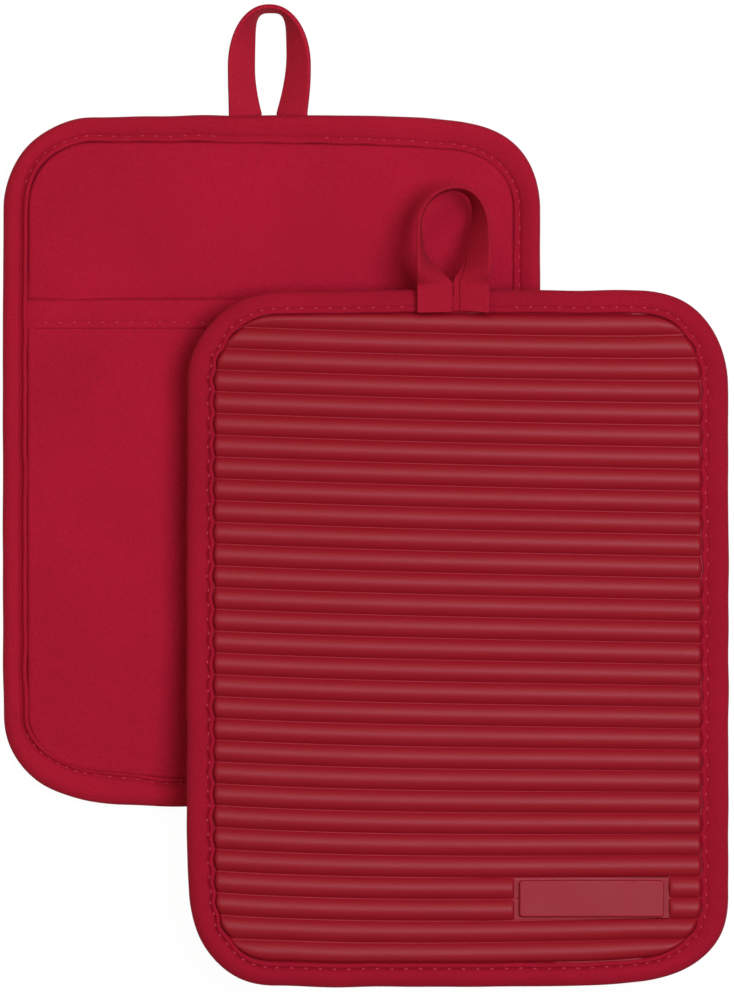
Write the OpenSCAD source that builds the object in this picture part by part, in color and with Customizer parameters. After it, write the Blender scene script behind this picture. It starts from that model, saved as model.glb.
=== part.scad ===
// A pair of quilted kitchen pot holders laid one on the other.
//
// Each holder is a flat sewn sandwich: a ribbed silicone face, a lining, a batting pad,
// a cloth back and a hand pocket, all trimmed flush and caught in a folded cloth binding.
// A cloth tape makes the hanging loop at the middle of the top edge.
// The lower holder lies silicone side down, so its pocket faces up.
// The upper holder rests on it, silicone side up, moved to the right and towards the user.
//
// Each holder is drawn silicone side up about its own middle, with z = 0 on the inner face of
// the binding's back leg, and is then turned and placed.
// The origin is the middle of the pair on the table, +Z is up and +Y points to the loops.

/* [Holder] */
// Width of one holder, side to side
holder_w = 177.8; // [150:0.1:210]
// Length of one holder, from the loop's edge to the lower edge
holder_l = 228.6; // [190:0.1:270]
// Radius of the four corners
corner_r = 29; // [18:0.5:38]
// How far the top and bottom edges bow out at their middle
end_bow = 1.6; // [0:0.1:4]
// How far the two sides bow out at their middle
side_bow = 0.4; // [0:0.1:3]

/* [Pair] */
// How far the upper holder lies to the right of the lower one
stagger_x = 61.2; // [40:0.2:90]
// How far the upper holder lies towards the user from the lower one
stagger_y = 58.2; // [40:0.2:90]
// Clear height between the upper holder and the pocket it rests on
rest_gap = 0.3; // [0.1:0.05:0.8]

/* [Silicone face] */
// Thickness of the silicone sheet under the ribs
silicone_t = 1.2; // [0.8:0.1:2.5]
// Distance from one rib to the next
rib_pitch = 7.17; // [5:0.01:12]
// Width of a rib at its foot
rib_w = 6.2; // [3.6:0.1:8]
// Height of a rib above the sheet
rib_h = 2.4; // [1.8:0.1:4]
// Width of the flat land along a rib's crest
rib_land = 1.8; // [0.8:0.1:2.4]
// Length of the bare raised plate among the ribs
plate_w = 47.7; // [25:0.1:60]
// Distance of the plate's middle from the face's centre line
plate_x = 44; // [20:0.5:46]
// Height of the plate above the sheet
plate_h = 1.9; // [0.8:0.1:2.4]
// Corner radius of the plate
plate_r = 1.6; // [0.6:0.1:3]
// Ribs between the plate and the lower edge
plate_row = 2; // [1:1:8]
// Gap between the plate and the ribs' ends
plate_moat = 1.8; // [0.6:0.1:4]

/* [Layers] */
// Thickness of the lining cloth
lining_t = 0.4; // [0.2:0.1:1]
// Thickness of the batting where the binding squeezes it
batting_rim_t = 1.2; // [0.6:0.1:3]
// How much thicker the batting is at the middle
batting_loft = 2.8; // [1:0.1:6]
// Width of the batting's sloping edge, from the binding inwards
batting_slope = 17; // [10:0.5:30]
// Thickness of the back cloth
back_t = 0.8; // [0.4:0.1:1.5]
// Clearance between one layer and the next
layer_gap = 0.12; // [0.05:0.01:0.3]

/* [Pocket] */
// Thickness of the pocket cloth
pocket_t = 0.8; // [0.4:0.1:1.5]
// Distance of the pocket's mouth from the loop's edge
pocket_drop = 60.6; // [40:0.1:110]
// Open height inside the pocket, as its slack cloth stands
pocket_slack = 4.6; // [4.4:0.1:12]
// Width of the pocket's sloping edge, from the binding inwards
pocket_slope = 23; // [14:0.5:34]
// Height of the hem band along the mouth
hem_w = 10; // [6:0.5:20]
// Thickness of the hem cloth
hem_t = 0.6; // [0.3:0.1:1.2]

/* [Binding] */
// Thickness of the binding cloth
bind_t = 0.9; // [0.5:0.1:1.5]
// Width of the binding on the silicone side
bind_front_w = 8; // [7:0.1:12]
// Width of the binding on the cloth side
bind_back_w = 7.9; // [7:0.1:12]
// Distance of the stitched groove from the binding's free edge
stitch_in = 1.8; // [1.2:0.1:2.4]
// Depth of the stitched groove
stitch_dip = 0.4; // [0.1:0.05:0.45]
// Clearance from the binding's free edge to the ribs and the hem
bind_gap = 0.3; // [0.1:0.05:1]

/* [Hanging loop] */
// Width of the loop's tape
tape_w = 11.5; // [8:0.1:14]
// Thickness of the folded tape
tape_t = 1.1; // [0.7:0.05:1.25]
// Distance of each leg from the loop's centre line at the edge
leg_x = 7.6; // [7.2:0.1:10]
// Distance of each leg from the centre line where the bend starts
bend_x = 8.9; // [8:0.1:13]
// Length of the loop's straight legs
leg_l = 22; // [16:0.5:34]
// Height of the bend above the legs
bend_h = 12.2; // [8:0.1:18]
// How far the tape has turned on edge at the top of the bend
tape_turn = 88; // [60:1:90]
// Distance of the loop's fold line outside the binding
fold_out = 0.95; // [0.9:0.05:2]
// Distance between the fold line and the rounded end of the sewn tab
fold_gap = 1.5; // [1.45:0.05:2.5]

/* [Hidden] */

cloth_color = [0.65, 0.1, 0.18];
tape_color = [0.58, 0.08, 0.15];
silicone_color = [0.62, 0.17, 0.2];
inner_color = [0.9, 0.88, 0.84];

half_w = holder_w / 2;
half_l = holder_l / 2;

// The layers where the binding holds them, counted up from the binding's back leg.
pocket_z = layer_gap;
back_z = pocket_z + pocket_t + layer_gap;
batting_z = back_z + back_t + layer_gap;
lining_z = batting_z + batting_rim_t + layer_gap;
sheet_z = lining_z + lining_t + layer_gap;
sheet_top = sheet_z + silicone_t;
slot_h = sheet_top + layer_gap;
crest_z = sheet_top + rib_h;
bind_top = slot_h + bind_t;

// The cut edges of the layers lie this far inside the binding's outer edge.
trim_in = slot_h / 2 + bind_t;
// The back and the pocket leave the binding this far in.
slope_in = bind_back_w + 2 * bind_gap;
pocket_fall = batting_loft + pocket_slack;
mouth_y = half_l - pocket_drop;
hem_low = pocket_z - pocket_fall - layer_gap - hem_t;

// The ribs fill the face inside the binding, and the first and the last run in under it.
face_in = bind_front_w + bind_gap;
rib_count = floor(2 * (half_l - face_in) / rib_pitch) + 1;
first_rib_y = -(rib_count - 1) * rib_pitch / 2;
rib_sink = silicone_t / 4;
shoulder_r = (rib_w - rib_land) / 2;
plate_l = rib_pitch + rib_w - 1.2;
plate_y = first_rib_y + (plate_row + 0.5) * rib_pitch;

// Round stretches of the outline and of the loop are drawn with this many steps.
corner_steps = 7;
side_steps = 3;
slope_steps = 3;
inner_corner_r = 4;
loop_steps = 44;
nose_steps = 3;

// The tape's cross-section, its corners taken off by a quarter of its thickness.
tape_soft = tape_t / 4;
tape_edge = tape_w / 2 - tape_soft;
tape_section = [
    [tape_edge, -tape_t / 2], [-tape_edge, -tape_t / 2],
    [-tape_w / 2, -tape_soft], [-tape_w / 2, tape_soft],
    [-tape_edge, tape_t / 2], [tape_edge, tape_t / 2],
    [tape_w / 2, tape_soft], [tape_w / 2, -tape_soft]
];
tape_lift = layer_gap + tape_t / 2;
loop_out = max([for (p = tape_section) p.x * cos(tape_turn) - p.y * sin(tape_turn)]);
loop_reach = fold_out + leg_l + bend_h + loop_out;

// Where the two holders lie, with the whole pair centred on the origin.
pair_l = holder_l + stagger_y + loop_reach;
upper_y = half_l - pair_l / 2;
lower_y = upper_y + stagger_y;
lower_at = [-stagger_x / 2, lower_y, crest_z];
upper_at = [stagger_x / 2, upper_y, crest_z - pocket_z + pocket_fall + rest_gap - hem_low];

// ---- The outline -------------------------------------------------------------------

// The corner radius of the outline moved in by d.
function ring_r(d) = max(corner_r - d, inner_corner_r);

function sign_x(k) = (k == 0 || k == 3) ? 1 : -1;
function sign_y(k) = k < 2 ? 1 : -1;

// Pushes the sides and ends out a little at their middle, as a stuffed pad does.
function bowed(p) = [
    p.x + side_bow * p.x / half_w * (1 - pow(p.y / half_l, 2)),
    p.y + end_bow * p.y / half_l * (1 - pow(p.x / half_w, 2))
];

function corner_arc(k, d) =
    let (
        r = ring_r(d),
        x = half_w - side_bow - d - r,
        y = half_l - end_bow - d - r
    )
    [
        for (i = [0:corner_steps])
        let (a = 90 * (k + i / corner_steps))
        [sign_x(k) * x + r * cos(a), sign_y(k) * y + r * sin(a)]
    ];

function between(p, q) = [for (i = [1:side_steps]) p + (q - p) * i / (side_steps + 1)];

// The closed outline of a holder moved in by d, counter-clockwise.
function ring(d) = [
    for (k = [0:3])
    let (
        arc = corner_arc(k, d),
        next = corner_arc((k + 1) % 4, d)
    )
    for (p = concat(arc, between(arc[corner_steps], next[0]))) bowed(p)
];

// How far past the start of the corners a line at height y lies on the face.
function in_corner(y) = max(abs(y) - (half_l - end_bow - face_in - ring_r(face_in)), 0);

// Half the width of the face at height y, for a rib's end.
function face_reach(y) =
    let (r = ring_r(face_in))
    half_w - side_bow - face_in - r + sqrt(max(r * r - pow(in_corner(y), 2), 0));

// ---- Solids that follow the outline ---------------------------------------------------

// Triangles that join ring a to ring b, both of n points.
function skirt(a, b, n) = [
    for (i = [0:n - 1])
    let (j = (i + 1) % n)
    each [[a * n + i, b * n + j, b * n + i], [a * n + i, a * n + j, b * n + j]]
];

// Joins each ring of points to the next. The last ring joins the first where the row is
// closed, and otherwise the first and the last ring get a flat cover.
module ring_solid(rings, closed = false) {
    n = len(rings[0]);
    m = len(rings);
    walls = [for (k = [0:m - 2]) each skirt(k, k + 1, n)];
    ends = closed
        ? skirt(m - 1, 0, n)
        : [[for (i = [n - 1:-1:0]) i], [for (i = [0:n - 1]) (m - 1) * n + i]];
    points = [for (r = rings) each r];
    polyhedron(points = points, faces = concat(walls, ends), convexity = 8);
}

// Sweeps a profile of [inset, z] points round the outline. The profile runs from its top
// inner end, out and down, and back in along its underside.
module round_outline(profile, closed = false) {
    rings = [for (at = profile) [for (p = ring(at[0])) [p.x, p.y, at[1]]]];
    ring_solid(rings, closed);
}

// The S-curve of a soft edge that falls by drop over a width, as [inset, z] points.
function soft_edge(z, width, drop) = [
    for (k = [0:slope_steps])
    let (f = k / slope_steps)
    [slope_in + width * f, z - drop * (1 - cos(180 * f)) / 2]
];

function reversed(list) = [for (i = [len(list) - 1:-1:0]) list[i]];

// A sheet between two heights that lies flat under the binding and bellies down inside it.
function pan_profile(low, high, width, drop, rim) = concat(
    reversed(soft_edge(high, width, drop)),
    [[rim, high], [rim, low]],
    soft_edge(low, width, drop)
);

// ---- One holder, silicone side up -----------------------------------------------------

// Half of a rib's cross-section, from its centre plane outwards.
module rib_half_section() {
    square([rib_land / 2, rib_h + rib_sink]);
    square([rib_w / 2, rib_h + rib_sink - shoulder_r]);
    intersection() {
        translate([rib_land / 2, rib_h + rib_sink - shoulder_r]) circle(r = shoulder_r, $fn = 48);
        square([rib_w / 2, rib_h + rib_sink]);
    }
}

// A pillow rib along X between two ends, each rounded in plan.
module rib(x0, x1, y) {
    straight = x1 - x0 - rib_w;
    if (straight > 0)
        translate([x0 + rib_w / 2, y, sheet_top - rib_sink]) {
            rotate([90, 0, 90])
                linear_extrude(height = straight) {
                    rib_half_section();
                    mirror([1, 0]) rib_half_section();
                }
            rotate([0, 0, 90]) rotate_extrude(angle = 180, $fn = 48) rib_half_section();
            translate([straight, 0, 0])
                rotate([0, 0, -90]) rotate_extrude(angle = 180, $fn = 48) rib_half_section();
        }
}

module plate() {
    x = plate_w / 2 - plate_r;
    y = plate_l / 2 - plate_r;
    translate([plate_x, plate_y, sheet_top - rib_sink])
        linear_extrude(height = plate_h + rib_sink) {
            square([plate_w, 2 * y], center = true);
            square([2 * x, plate_l], center = true);
            for (sx = [-1, 1], sy = [-1, 1])
                translate([sx * x, sy * y]) circle(r = plate_r, $fn = 48);
        }
}

// One row of the face: a whole rib, or its two ends beside the plate.
module rib_row(i, y, reach) {
    if (i == plate_row || i == plate_row + 1) {
        rib(-reach, plate_x - plate_w / 2 - plate_moat, y);
        rib(plate_x + plate_w / 2 + plate_moat, reach, y);
    } else {
        rib(-reach, reach, y);
    }
}

// The space over the face that the binding leaves free; ribs in the corners are cut to it.
module inside_binding() {
    translate([0, 0, sheet_z]) linear_extrude(height = silicone_t + 2 * rib_h) polygon(ring(face_in));
}

// The moulded silicone: a sheet with one rib after another and the bare plate among them.
module silicone_face() {
    color(silicone_color) {
        translate([0, 0, sheet_z]) linear_extrude(height = silicone_t) polygon(ring(trim_in));
        for (i = [0:rib_count - 1]) {
            y = first_rib_y + i * rib_pitch;
            reach = face_reach(abs(y) - rib_w / 2);
            if (in_corner(abs(y) + rib_w / 2) > 0)
                intersection() {
                    rib_row(i, y, reach);
                    inside_binding();
                }
            else
                rib_row(i, y, reach);
        }
        plate();
    }
}

module lining() {
    color(inner_color)
        translate([0, 0, lining_z]) linear_extrude(height = lining_t) polygon(ring(trim_in));
}

// The pad: squeezed thin under the binding, full at the middle, bellied towards the back.
module batting() {
    top = batting_z + batting_rim_t;
    profile = concat(
        [[slope_in + batting_slope, top], [trim_in, top], [trim_in, batting_z]],
        soft_edge(batting_z, batting_slope, batting_loft)
    );
    color(inner_color) round_outline(profile);
}

module back_panel() {
    profile = pan_profile(back_z, back_z + back_t, batting_slope, batting_loft, trim_in);
    color(cloth_color) round_outline(profile);
}

// Everything nearer the user than a line across the holder.
module below_line(y) {
    tall = 4 * (pocket_fall + slot_h);
    translate([-holder_w, y - 2 * holder_l, -tall]) cube([2 * holder_w, 2 * holder_l, 2 * tall]);
}

// The pocket cloth: caught in the binding on three sides, open at its mouth, with some slack.
module pocket_panel() {
    high = pocket_z + pocket_t;
    color(cloth_color)
        intersection() {
            round_outline(pan_profile(pocket_z, high, pocket_slope, pocket_fall, trim_in));
            below_line(mouth_y - hem_t - layer_gap);
        }
}

// The band over the pocket's mouth: it lies on the outside and turns in over the cut edge.
module pocket_hem() {
    high = pocket_z + pocket_t;
    low = pocket_z - layer_gap;
    rim = bind_back_w + bind_gap;
    color(tape_color)
        difference() {
            intersection() {
                round_outline(pan_profile(low - hem_t, high, pocket_slope, pocket_fall, rim));
                below_line(mouth_y);
            }
            below_line(mouth_y - hem_w);
            intersection() {
                round_outline(pan_profile(low, high + slot_h, pocket_slope, pocket_fall, trim_in));
                below_line(mouth_y - hem_t);
            }
        }
}

// The upper or lower leg of the binding from its free edge to its fold, as [inset, z] points.
function bind_leg(width, face, side) = [
    [width, face - side * bind_t * 0.6],
    [width - 0.5, face],
    [width - stitch_in + 0.6, face],
    [width - stitch_in, face - side * stitch_dip],
    [width - stitch_in - 0.9, face]
];

function bind_arc(r, step, side) = [
    for (a = [90:-step:-90])
    [trim_in - r * cos(a), slot_h / 2 + side * r * sin(a)]
];

// The folded cloth binding: one U-section all the way round the holder.
module edge_binding() {
    profile = concat(
        [[bind_front_w, slot_h]],
        bind_leg(bind_front_w, bind_top, 1),
        bind_arc(slot_h / 2 + bind_t, 30, 1),
        reversed(bind_leg(bind_back_w, -bind_t, -1)),
        [[bind_back_w, 0]],
        bind_arc(slot_h / 2, 45, -1)
    );
    color(tape_color) round_outline(profile, closed = true);
}

// ---- The hanging loop, about the middle of its fold line --------------------------------

// The share of the tape's length that lies in one straight leg, out of a leg and half the bend.
leg_share = leg_l / (leg_l + (bend_x + bend_h) * PI / 4);

// The tape's centre line in plan: t runs from 0 at the left leg to 1 at the right one.
function loop_plan(t) =
    let (
        side = t < 0.5 ? -1 : 1,
        u = 1 - abs(2 * t - 1),
        v = u / leg_share,
        a = 90 * (u - leg_share) / (1 - leg_share)
    )
    u < leg_share
        ? [side * (leg_x + (bend_x - leg_x) * sin(90 * v)), leg_l * v]
        : [side * bend_x * cos(a), leg_l + bend_h * sin(a)];

// How far the tape has turned on edge at t: flat at the legs' feet, upright at the bend.
function loop_turn(t) =
    let (u = 1 - abs(2 * t - 1))
    tape_turn * (1 - cos(180 * max(u - 0.08, 0) / 0.92)) / 2;

function heading(t) =
    let (
        step = 0.001,
        d = t < step
            ? [0, 1]
            : t > 1 - step ? [0, -1] : loop_plan(t + step) - loop_plan(t - step)
    )
    d / norm(d);

// One ring of the tape. The outer edge of the tape rises as it turns, and its inner edge
// stays at the height of the legs.
function tape_ring(t, shift, thin) =
    let (
        plan = loop_plan(t),
        along = heading(t),
        out = [-along.y, along.x],
        turn = loop_turn(t)
    )
    [
        for (p = tape_section)
        let (
            side = p.x * cos(turn) - p.y * thin * sin(turn),
            up = (p.x + tape_w / 2) * sin(turn) + p.y * thin * cos(turn),
            at = plan + along * shift + out * side
        )
        [at.x, at.y, up]
    ];

// The moving tape, with a rounded nose on each leg at the fold line.
module hanging_loop() {
    noses = [for (k = [nose_steps:-1:1]) 75 * k / nose_steps];
    rings = concat(
        [for (a = noses) tape_ring(0, -tape_t / 2 * sin(a), cos(a))],
        [for (k = [0:loop_steps]) tape_ring(k / loop_steps, 0, 1)],
        [for (a = reversed(noses)) tape_ring(1, tape_t / 2 * sin(a), cos(a))]
    );
    color(tape_color) ring_solid(rings);
}

// The two ends of the tape, sewn down across the binding's silicone side.
module loop_tabs() {
    back = fold_out + bind_front_w - bind_gap;
    color(tape_color)
        for (side = [-1, 1])
            translate([side * leg_x - tape_w / 2, 0, 0])
                rotate([90, 0, 90])
                    linear_extrude(height = tape_w) {
                        translate([-fold_gap, 0]) circle(d = tape_t, $fn = 24);
                        translate([-back, -tape_t / 2]) square([back - fold_gap, tape_t]);
                    }
}

// ---- The pair -----------------------------------------------------------------------------

module lower_holder() {
    translate(lower_at) rotate([0, 180, 0]) children();
}

module upper_holder() {
    translate(upper_at) children();
}

module lower_loop() {
    translate([lower_at.x, lower_at.y + half_l + fold_out, crest_z - bind_top - tape_lift])
        children();
}

module upper_loop() {
    translate([upper_at.x, upper_at.y + half_l + fold_out, upper_at.z + bind_top + tape_lift])
        children();
}

lower_holder() silicone_face();  // lower_silicone_face
lower_holder() lining();  // lower_lining
lower_holder() batting();  // lower_batting
lower_holder() back_panel();  // lower_back_panel
lower_holder() pocket_panel();  // lower_pocket_panel
lower_holder() pocket_hem();  // lower_pocket_hem
lower_holder() edge_binding();  // lower_edge_binding
lower_loop() loop_tabs();  // lower_loop_tabs
lower_loop() hanging_loop();  // lower_hanging_loop
upper_holder() silicone_face();  // upper_silicone_face
upper_holder() lining();  // upper_lining
upper_holder() batting();  // upper_batting
upper_holder() back_panel();  // upper_back_panel
upper_holder() pocket_panel();  // upper_pocket_panel
upper_holder() pocket_hem();  // upper_pocket_hem
upper_holder() edge_binding();  // upper_edge_binding
upper_loop() loop_tabs();  // upper_loop_tabs
upper_loop() hanging_loop();  // upper_hanging_loop
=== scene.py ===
# %% [markdown]
# # A pair of padded kitchen pot holders
#
# Each holder is a flat sewn sandwich: a ribbed silicone face, a padded middle, a cotton twill
# back with a hand pocket, a folded cloth binding round the edge and a tape loop to hang it by.
# The lower holder lies on its silicone, so its pocket shows. The upper one lies on it the other
# way up. The measured solids are loaded first, and every soft piece is then built over them.

# %% Load the measured solids
import math

import bpy
import numpy as np
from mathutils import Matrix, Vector


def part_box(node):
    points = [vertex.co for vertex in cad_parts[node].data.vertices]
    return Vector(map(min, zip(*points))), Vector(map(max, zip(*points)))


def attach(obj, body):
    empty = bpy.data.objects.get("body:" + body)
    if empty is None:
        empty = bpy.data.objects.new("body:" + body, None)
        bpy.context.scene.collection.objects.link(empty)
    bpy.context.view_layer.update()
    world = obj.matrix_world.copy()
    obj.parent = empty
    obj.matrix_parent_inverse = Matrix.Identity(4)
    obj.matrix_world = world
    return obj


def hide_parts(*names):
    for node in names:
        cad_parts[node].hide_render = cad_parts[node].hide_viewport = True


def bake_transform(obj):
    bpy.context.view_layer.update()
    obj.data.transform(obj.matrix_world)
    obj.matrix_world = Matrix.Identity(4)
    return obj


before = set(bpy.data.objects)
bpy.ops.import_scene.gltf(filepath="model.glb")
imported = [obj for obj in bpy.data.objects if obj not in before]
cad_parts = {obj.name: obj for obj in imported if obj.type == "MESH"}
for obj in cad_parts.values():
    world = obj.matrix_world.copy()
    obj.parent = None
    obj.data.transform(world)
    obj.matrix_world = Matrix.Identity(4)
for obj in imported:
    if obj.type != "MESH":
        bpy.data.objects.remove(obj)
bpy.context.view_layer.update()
MM = 0.001
print("nodes loaded:", len(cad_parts))

# %% [markdown]
# ## Camera
#
# A product picture of flat goods is taken from straight above with a long lens, so that both
# holders keep their true outline. The camera hangs high over the middle of the pair. The other
# way, a short lens close by, would show the sides and make the upper holder look larger.

# %% Hang the camera over the pair
SENSOR, LENS = 36.0, 293.76
CAMERA_AT = (0.0009, -0.0004, 2.68)
camera_data = bpy.data.cameras.new("camera")
camera = bpy.data.objects.new("camera", camera_data)
bpy.context.scene.collection.objects.link(camera)
bpy.context.scene.camera = camera
camera.location = CAMERA_AT
camera_data.sensor_width = SENSOR
camera_data.lens = LENS
camera_data.clip_end = 20
bpy.context.scene.view_settings.view_transform = "Standard"
print("camera at", tuple(round(v, 4) for v in camera.location))

# %% [markdown]
# ## A place for each holder
#
# Both holders have the same make-up, and only their place and the side that faces up differ.
# So each piece is designed once in the holder's own frame: x to the side, y to the loop, and z
# from the cloth back to the silicone. A small class then sets it down where its solids are.

# %% Find where each holder lies
HOLDER_W, HOLDER_L = 177.8 * MM, 228.6 * MM
CORNER_R = 29 * MM
SIDE_BOW, END_BOW = 0.4 * MM, 1.6 * MM
BIND_T = 0.9 * MM
SLOT_H = 5.12 * MM
SHEET_TOP = 5.0 * MM
TRIM_IN = SLOT_H / 2 + BIND_T
# No two are sewn alike: each place (x, y) of the edge below bulges out by so much, or is pulled
# in where the number is negative, all in mm. It moves straight away from the still core.
STRAYS = {
    "upper": [(76, 108, 1.2), (52, 114, 0.4), (-73, -110, 0.9), (-40, -114, 0.5),
              (-88, -89, -0.7), (64, -113, -1.2), (85, -98, 0.8)],
    "lower": [(-64, 113, -1.1), (-81, 103, 0.5), (68, -112, -1.6), (83, -100, -0.3)],
}
STRAY_SPREAD = 9 * MM
STILL_CORE = np.array([60, 85]) * MM


class Holder:
    """One pot holder: its place in the pair and which way up it lies."""

    def __init__(self, name):
        self.name = name
        low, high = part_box(name + "_edge_binding")
        face = sum(v.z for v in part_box(name + "_silicone_face"))
        back = sum(v.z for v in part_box(name + "_back_panel"))
        self.up = 1 if face > back else -1
        self.x, self.y = (low.x + high.x) / 2, (low.y + high.y) / 2
        self.zero = low.z + BIND_T if self.up > 0 else high.z - BIND_T
        self.body = name + "_holder"

    def stray(self, points):
        """Pushes the places named in STRAYS out or in, and what lies near them along with them."""
        p = np.array(points, float).reshape(-1, 3)
        moved = p.copy()
        for x, y, amount in STRAYS[self.name]:
            at = np.array([x, y]) * MM
            away = at - np.clip(at, -STILL_CORE, STILL_CORE)
            near = np.exp(-np.sum((p[:, :2] - at) ** 2, axis=1) / (2 * STRAY_SPREAD ** 2))
            moved[:, :2] += near[:, None] * away / np.linalg.norm(away) * amount * MM
        return moved

    def place(self, points):
        """Moves points of the holder's own frame to where it lies."""
        turned = np.array([self.up, 1, self.up]) * self.stray(points)
        return turned + np.array([self.x, self.y, self.zero])


HOLDERS = [Holder("lower"), Holder("upper")]
for holder in HOLDERS:
    way = "up" if holder.up > 0 else "down"
    print(holder.name, "faces", way, "at", round(holder.x, 4), round(holder.y, 4))

# %% [markdown]
# ## The outline
#
# The outline is a rounded rectangle whose ends bow out a little, because the stuffing pulls the
# corners in. Two questions are asked of it again and again. Where is the edge after some length
# of it has passed, which the binding and its stitches need, and how far inside the edge does a
# point lie, which the pads and the ribs need.

# %% Walk round the outline, and measure inwards from it
BASE_X, BASE_Y = HOLDER_W / 2 - SIDE_BOW, HOLDER_L / 2 - END_BOW


def bow(points):
    """Pushes the middle of the sides and ends out."""
    p = np.array(points, float)
    x, y = p[:, 0].copy(), p[:, 1].copy()
    p[:, 0] += SIDE_BOW * x / BASE_X * (1 - (y / (HOLDER_L / 2)) ** 2)
    p[:, 1] += END_BOW * y / BASE_Y * (1 - (x / (HOLDER_W / 2)) ** 2)
    return p


def walk_outline(count):
    """count places spaced evenly along the edge, counter-clockwise, with their outward normals."""
    flat_x, flat_y = BASE_X - CORNER_R, BASE_Y - CORNER_R
    arc = CORNER_R * math.pi / 2
    runs = [2 * flat_y, arc, 2 * flat_x, arc] * 2
    total = sum(runs)
    starts = [(1, -flat_y), (flat_x, flat_y), (flat_x, 1), (-flat_x, flat_y),
              (-1, flat_y), (-flat_x, -flat_y), (-flat_x, -1), (flat_x, -flat_y)]
    places, normals = [], []
    for k in range(count):
        s = total * k / count
        leg = 0
        while s > runs[leg]:
            s -= runs[leg]
            leg += 1
        angle = math.pi / 2 * (leg // 2)
        if leg % 2 == 0:
            n = (round(math.cos(angle)), round(math.sin(angle)))
            along = (-n[1], n[0])
            half = flat_y if leg % 4 == 0 else flat_x
            out = BASE_X if leg % 4 == 0 else BASE_Y
            places.append((n[0] * out + along[0] * (s - half), n[1] * out + along[1] * (s - half)))
        else:
            a = angle + s / CORNER_R
            n = (math.cos(a), math.sin(a))
            cx, cy = starts[leg]
            places.append((cx + CORNER_R * n[0], cy + CORNER_R * n[1]))
        normals.append(n)
    return np.array(places), np.array(normals), total


def inset_of(x, y):
    """How far inside the edge a point lies, with the bow taken into account."""
    ux = np.abs(x) - SIDE_BOW * (1 - (y / (HOLDER_L / 2)) ** 2)
    uy = np.abs(y) - END_BOW * (1 - (x / (HOLDER_W / 2)) ** 2)
    qx, qy = ux - (BASE_X - CORNER_R), uy - (BASE_Y - CORNER_R)
    outside = np.hypot(np.maximum(qx, 0), np.maximum(qy, 0))
    return CORNER_R - outside - np.minimum(np.maximum(qx, qy), 0)


def half_width_at(y, inset):
    """Half the width that is left at height y, some way inside the edge."""
    side = SIDE_BOW * (1 - (y / (HOLDER_L / 2)) ** 2)
    reach = BASE_X - CORNER_R
    r = np.maximum(CORNER_R - inset, 1 * MM)
    bowed = END_BOW * (1 - (reach / (HOLDER_W / 2)) ** 2)
    rise = np.clip(np.abs(y) - bowed - (BASE_Y - CORNER_R), 0, r)
    return reach + side + CORNER_R - inset - r + np.sqrt(r * r - rise * rise)


def smooth(t):
    """A soft step from 0 to 1."""
    t = np.clip(t, 0, 1)
    return t * t * (3 - 2 * t)


EDGE_LENGTH = walk_outline(8)[2]
print("the edge is", round(EDGE_LENGTH / MM), "mm long")

# %% [markdown]
# ## Helpers for meshes
#
# Operators act on what is selected, and the loaded solids arrive selected. So a helper first
# clears the selection. Another makes a mesh from rows of points, which suits cloth: a sheet, a
# folded strip and a tape are all rows of points joined by four-sided faces. Where such a piece
# ends, its rim is found by select_non_manifold, and a face is filled in.

# %% Selection and row-by-row meshes
DOUBLES = 1e-6


def select_only(obj):
    bpy.ops.object.select_all(action="DESELECT")
    obj.select_set(True)
    bpy.context.view_layer.objects.active = obj


def apply(obj, kind, **settings):
    """Adds a modifier, sets it and applies it."""
    select_only(obj)
    modifier = obj.modifiers.new(kind.lower(), kind)
    for key, value in settings.items():
        setattr(modifier, key, value)
    bpy.ops.object.modifier_apply(modifier=modifier.name)


def mesh_from(name, points, faces):
    data = bpy.data.meshes.new(name)
    data.from_pydata([tuple(p) for p in points], [], faces)
    obj = bpy.data.objects.new(name, data)
    bpy.context.scene.collection.objects.link(obj)
    return obj


def quads(rows, columns, round_rows=False, round_columns=False):
    """Faces between a grid of points, which may close on itself in either direction."""
    out = []
    for i in range(rows if round_rows else rows - 1):
        for j in range(columns if round_columns else columns - 1):
            a, b = i * columns + j, i * columns + (j + 1) % columns
            k = (i + 1) % rows
            out.append((a, b, k * columns + (j + 1) % columns, k * columns + j))
    return out


def select_rims(obj):
    """Goes to edit mode with only the open rims of a piece selected."""
    select_only(obj)
    bpy.ops.object.mode_set(mode="EDIT")
    bpy.ops.mesh.select_all(action="DESELECT")
    bpy.ops.mesh.select_non_manifold()


def close_rims(obj):
    """Fills each open end of a piece with a face."""
    select_rims(obj)
    bpy.ops.mesh.edge_face_add()
    bpy.ops.object.mode_set(mode="OBJECT")


def face_outwards(obj, angle=45):
    """Merges doubles, turns every face outwards and shades the piece smooth."""
    select_only(obj)
    bpy.ops.object.mode_set(mode="EDIT")
    bpy.ops.mesh.select_all(action="SELECT")
    bpy.ops.mesh.remove_doubles(threshold=DOUBLES)
    bpy.ops.mesh.normals_make_consistent(inside=False)
    bpy.ops.object.mode_set(mode="OBJECT")
    bpy.ops.object.shade_smooth_by_angle(angle=math.radians(angle))


def write_uv(obj, uv_of_vertex):
    """Gives each corner the cloth position of its vertex, in metres along and across."""
    layer = obj.data.uv_layers.new(name="cloth")
    for loop in obj.data.loops:
        layer.data[loop.index].uv = uv_of_vertex[loop.vertex_index]


# %% [markdown]
# ## Shader maths
#
# A pattern such as a weave is a formula, and formulas read best as Python. The class below wraps
# an output socket, so that `1 - mask` or `height * 0.3` adds the Math node for it. Every other
# node is made by one method, which takes its type, its settings and its inputs.

# %% A small class that writes shader nodes


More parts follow.
